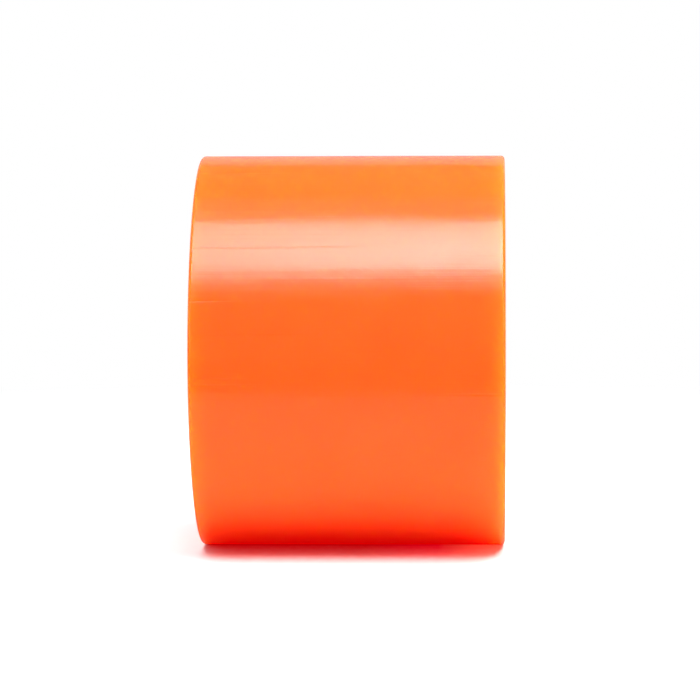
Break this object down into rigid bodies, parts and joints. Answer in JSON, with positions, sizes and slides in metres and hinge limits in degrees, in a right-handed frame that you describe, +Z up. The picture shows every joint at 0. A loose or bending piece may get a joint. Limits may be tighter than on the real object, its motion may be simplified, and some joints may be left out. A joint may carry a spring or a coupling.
{
  "type": "brayer roller",
  "caption": "Orange rubber roller of a brayer: soft cover on a metal core with sealed ball bearings and a through bore for the frame's axle.",
  "frame": {"origin": "centre of the roller, on its axis, halfway along its length", "axes": "+Y along the roller's axis of rotation, towards its right-hand end; +Z up; the roller's surface runs along X on the table"},
  "size_m": [0.0644, 0.05, 0.0644],
  "materials": {
    "orange_urethane": "glossy, slightly translucent cast polyurethane rubber, ground smooth",
    "aluminium": "fine turned, clear anodised",
    "bearing_steel": "ground and polished",
    "plated_steel": "bright zinc plated",
    "spring_steel": "black phosphated and oiled",
    "seal_rubber": "matt black nitrile",
    "cage_nylon": "natural nylon"
  },
  "bodies": {
    "axle_sleeve": {"axle_sleeve": "plated_steel", "bearing_inner_ring_left": "bearing_steel", "bearing_inner_ring_right": "bearing_steel"},
    "roller": {"rubber_cover": "orange_urethane", "core_tube": "aluminium", "end_hub_left": "aluminium", "retaining_ring_left": "spring_steel", "bearing_outer_ring_left": "bearing_steel", "outside_seal_left": "seal_rubber", "outside_seal_insert_left": "plated_steel", "inside_seal_left": "seal_rubber", "inside_seal_insert_left": "plated_steel", "end_hub_right": "aluminium", "retaining_ring_right": "spring_steel", "bearing_outer_ring_right": "bearing_steel", "outside_seal_right": "seal_rubber", "outside_seal_insert_right": "plated_steel", "inside_seal_right": "seal_rubber", "inside_seal_insert_right": "plated_steel"},
    "cage_left": {"bearing_cage_left": "cage_nylon"},
    "ball_left_1": {"ball_left_1": "bearing_steel"},
    "ball_left_2": {"ball_left_2": "bearing_steel"},
    "ball_left_3": {"ball_left_3": "bearing_steel"},
    "ball_left_4": {"ball_left_4": "bearing_steel"},
    "ball_left_5": {"ball_left_5": "bearing_steel"},
    "ball_left_6": {"ball_left_6": "bearing_steel"},
    "ball_left_7": {"ball_left_7": "bearing_steel"},
    "cage_right": {"bearing_cage_right": "cage_nylon"},
    "ball_right_1": {"ball_right_1": "bearing_steel"},
    "ball_right_2": {"ball_right_2": "bearing_steel"},
    "ball_right_3": {"ball_right_3": "bearing_steel"},
    "ball_right_4": {"ball_right_4": "bearing_steel"},
    "ball_right_5": {"ball_right_5": "bearing_steel"},
    "ball_right_6": {"ball_right_6": "bearing_steel"},
    "ball_right_7": {"ball_right_7": "bearing_steel"}
  },
  "joints": [
    {"name": "roller_spin", "type": "hinge", "parent": "axle_sleeve", "child": "roller", "pos_m": [0, 0, 0], "axis": [0, 1, 0], "continuous": true},
    {"name": "cage_left_orbit", "type": "hinge", "parent": "axle_sleeve", "child": "cage_left", "pos_m": [0, -0.0185, 0], "axis": [0, 1, 0], "continuous": true},
    {"name": "ball_left_1_roll", "type": "hinge", "parent": "cage_left", "child": "ball_left_1", "pos_m": [0, -0.0185, 0.0075], "axis": [0, 1, 0], "continuous": true},
    {"name": "ball_left_2_roll", "type": "hinge", "parent": "cage_left", "child": "ball_left_2", "pos_m": [-0.00586, -0.0185, 0.00468], "axis": [0, 1, 0], "continuous": true},
    {"name": "ball_left_3_roll", "type": "hinge", "parent": "cage_left", "child": "ball_left_3", "pos_m": [-0.00731, -0.0185, -0.00167], "axis": [0, 1, 0], "continuous": true},
    {"name": "ball_left_4_roll", "type": "hinge", "parent": "cage_left", "child": "ball_left_4", "pos_m": [-0.00325, -0.0185, -0.00676], "axis": [0, 1, 0], "continuous": true},
    {"name": "ball_left_5_roll", "type": "hinge", "parent": "cage_left", "child": "ball_left_5", "pos_m": [0.00325, -0.0185, -0.00676], "axis": [0, 1, 0], "continuous": true},
    {"name": "ball_left_6_roll", "type": "hinge", "parent": "cage_left", "child": "ball_left_6", "pos_m": [0.00731, -0.0185, -0.00167], "axis": [0, 1, 0], "continuous": true},
    {"name": "ball_left_7_roll", "type": "hinge", "parent": "cage_left", "child": "ball_left_7", "pos_m": [0.00586, -0.0185, 0.00468], "axis": [0, 1, 0], "continuous": true},
    {"name": "cage_right_orbit", "type": "hinge", "parent": "axle_sleeve", "child": "cage_right", "pos_m": [0, 0.0185, 0], "axis": [0, 1, 0], "continuous": true},
    {"name": "ball_right_1_roll", "type": "hinge", "parent": "cage_right", "child": "ball_right_1", "pos_m": [-0.00325, 0.0185, 0.00676], "axis": [0, 1, 0], "continuous": true},
    {"name": "ball_right_2_roll", "type": "hinge", "parent": "cage_right", "child": "ball_right_2", "pos_m": [-0.00731, 0.0185, 0.00167], "axis": [0, 1, 0], "continuous": true},
    {"name": "ball_right_3_roll", "type": "hinge", "parent": "cage_right", "child": "ball_right_3", "pos_m": [-0.00586, 0.0185, -0.00468], "axis": [0, 1, 0], "continuous": true},
    {"name": "ball_right_4_roll", "type": "hinge", "parent": "cage_right", "child": "ball_right_4", "pos_m": [0, 0.0185, -0.0075], "axis": [0, 1, 0], "continuous": true},
    {"name": "ball_right_5_roll", "type": "hinge", "parent": "cage_right", "child": "ball_right_5", "pos_m": [0.00586, 0.0185, -0.00468], "axis": [0, 1, 0], "continuous": true},
    {"name": "ball_right_6_roll", "type": "hinge", "parent": "cage_right", "child": "ball_right_6", "pos_m": [0.00731, 0.0185, 0.00167], "axis": [0, 1, 0], "continuous": true},
    {"name": "ball_right_7_roll", "type": "hinge", "parent": "cage_right", "child": "ball_right_7", "pos_m": [0.00325, 0.0185, 0.00676], "axis": [0, 1, 0], "continuous": true}
  ],
  "couplings": [
    {"joint": "cage_left_orbit", "follows": "roller_spin", "ratio": 0.6323},
    {"joint": "ball_left_1_roll", "follows": "roller_spin", "ratio": 1.7573},
    {"joint": "ball_left_2_roll", "follows": "roller_spin", "ratio": 1.7573},
    {"joint": "ball_left_3_roll", "follows": "roller_spin", "ratio": 1.7573},
    {"joint": "ball_left_4_roll", "follows": "roller_spin", "ratio": 1.7573},
    {"joint": "ball_left_5_roll", "follows": "roller_spin", "ratio": 1.7573},
    {"joint": "ball_left_6_roll", "follows": "roller_spin", "ratio": 1.7573},
    {"joint": "ball_left_7_roll", "follows": "roller_spin", "ratio": 1.7573},
    {"joint": "cage_right_orbit", "follows": "roller_spin", "ratio": 0.6323},
    {"joint": "ball_right_1_roll", "follows": "roller_spin", "ratio": 1.7573},
    {"joint": "ball_right_2_roll", "follows": "roller_spin", "ratio": 1.7573},
    {"joint": "ball_right_3_roll", "follows": "roller_spin", "ratio": 1.7573},
    {"joint": "ball_right_4_roll", "follows": "roller_spin", "ratio": 1.7573},
    {"joint": "ball_right_5_roll", "follows": "roller_spin", "ratio": 1.7573},
    {"joint": "ball_right_6_roll", "follows": "roller_spin", "ratio": 1.7573},
    {"joint": "ball_right_7_roll", "follows": "roller_spin", "ratio": 1.7573}
  ]
}
